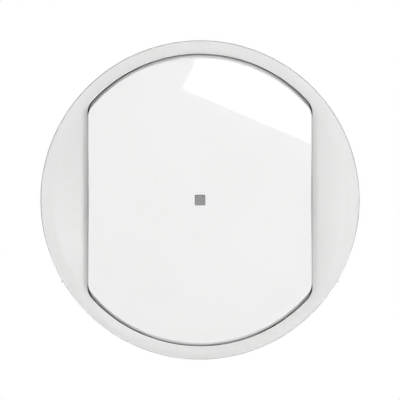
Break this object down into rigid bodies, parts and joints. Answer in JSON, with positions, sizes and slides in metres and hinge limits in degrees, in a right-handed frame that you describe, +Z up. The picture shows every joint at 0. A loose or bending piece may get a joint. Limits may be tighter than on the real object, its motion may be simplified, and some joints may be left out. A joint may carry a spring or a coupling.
{
  "type": "dimmer switch",
  "caption": "Flush wall dimmer: round dished cover, rocking finger key with a square indicator window, and a square rear module with screw terminals.",
  "frame": {"origin": "centre of the rear face of the front carrier's flange, 0.3 mm ahead of the two pads that rest on the support frame", "axes": "+Y into the wall, square to the flange; +Z up; +X to the right of someone facing the wall"},
  "size_m": [0.062, 0.0404, 0.062],
  "materials": {
    "white_gloss_plastic": "high gloss moulded thermoplastic",
    "smoked_window": "smoked translucent plastic",
    "grey_moulding": "fine matt moulded",
    "clear_rod": "clear moulded acrylic",
    "natural_moulding": "natural moulded",
    "spring_steel": "bright drawn",
    "board_laminate": "green solder mask",
    "black_moulding": "moulded epoxy",
    "ferrite": "sintered ferrite",
    "enamelled_copper": "enamelled copper wire",
    "film_case": "yellow moulded case",
    "sleeve": "shrink sleeve",
    "varistor_coating": "dipped epoxy",
    "fuse_glass": "ceramic tube with plated caps",
    "heatsink_aluminium": "mill finish",
    "housing_moulding": "fine spark finish",
    "terminal_moulding": "fine spark finish",
    "zinc_steel": "zinc plated",
    "brass": "stamped"
  },
  "bodies": {
    "module": {"cover_dish": "white_gloss_plastic", "front_carrier": "grey_moulding", "light_pipe": "clear_rod", "upper_return_spring": "spring_steel", "lower_return_spring": "spring_steel", "upper_snap_dome": "spring_steel", "lower_snap_dome": "spring_steel", "indicator_led": "natural_moulding", "circuit_board": "board_laminate", "controller_chip": "black_moulding", "choke_core": "ferrite", "choke_winding": "enamelled_copper", "film_capacitor": "film_case", "electrolytic_capacitor": "sleeve", "varistor": "varistor_coating", "fuse": "fuse_glass", "heatsink_plate": "heatsink_aluminium", "left_transistor": "black_moulding", "right_transistor": "black_moulding", "rear_housing": "housing_moulding", "housing_screws": "zinc_steel", "terminal_block": "terminal_moulding", "left_busbar": "brass", "centre_busbar": "brass", "right_busbar": "brass"},
    "key": {"rocker_key": "white_gloss_plastic", "indicator_lens": "smoked_window"},
    "upper_plunger": {"upper_plunger": "natural_moulding"},
    "lower_plunger": {"lower_plunger": "natural_moulding"},
    "left_screw": {"left_terminal_screw": "zinc_steel"},
    "left_cage": {"left_clamp_cage": "zinc_steel"},
    "centre_screw": {"centre_terminal_screw": "zinc_steel"},
    "centre_cage": {"centre_clamp_cage": "zinc_steel"},
    "right_screw": {"right_terminal_screw": "zinc_steel"},
    "right_cage": {"right_clamp_cage": "zinc_steel"}
  },
  "joints": [
    {"name": "key_rock", "type": "hinge", "parent": "module", "child": "key", "pos_m": [0, -0.0047, 0], "axis": [1, 0, 0], "range_deg": [-2.3, 2.3], "stiffness_Nm_per_rad": 0.6},
    {"name": "upper_plunger_slide", "type": "slide", "parent": "module", "child": "upper_plunger", "axis": [0, 1, 0], "range_m": [-0.00045, 0.00045], "deforming": ["upper_return_spring", "upper_snap_dome"]},
    {"name": "lower_plunger_slide", "type": "slide", "parent": "module", "child": "lower_plunger", "axis": [0, 1, 0], "range_m": [-0.00045, 0.00045], "deforming": ["lower_return_spring", "lower_snap_dome"]},
    {"name": "left_cage_slide", "type": "slide", "parent": "module", "child": "left_cage", "axis": [0, 1, 0], "range_m": [0, 0.0025]},
    {"name": "left_screw_turn", "type": "hinge", "parent": "module", "child": "left_screw", "pos_m": [-0.012, 0.025, -0.0164], "axis": [0, -1, 0], "range_deg": [-20, 1820]},
    {"name": "centre_cage_slide", "type": "slide", "parent": "module", "child": "centre_cage", "axis": [0, 1, 0], "range_m": [0, 0.0025]},
    {"name": "centre_screw_turn", "type": "hinge", "parent": "module", "child": "centre_screw", "pos_m": [0, 0.025, -0.0164], "axis": [0, -1, 0], "range_deg": [-20, 1820]},
    {"name": "right_cage_slide", "type": "slide", "parent": "module", "child": "right_cage", "axis": [0, 1, 0], "range_m": [0, 0.0025]},
    {"name": "right_screw_turn", "type": "hinge", "parent": "module", "child": "right_screw", "pos_m": [0.012, 0.025, -0.0164], "axis": [0, -1, 0], "range_deg": [-20, 1820]}
  ],
  "couplings": [
    {"joint": "upper_plunger_slide", "follows": "key_rock", "m_per_rad": -0.01},
    {"joint": "lower_plunger_slide", "follows": "key_rock", "m_per_rad": 0.01},
    {"joint": "left_screw_turn", "follows": "left_cage_slide", "rad_per_m": 12566},
    {"joint": "centre_screw_turn", "follows": "centre_cage_slide", "rad_per_m": 12566},
    {"joint": "right_screw_turn", "follows": "right_cage_slide", "rad_per_m": 12566}
  ]
}
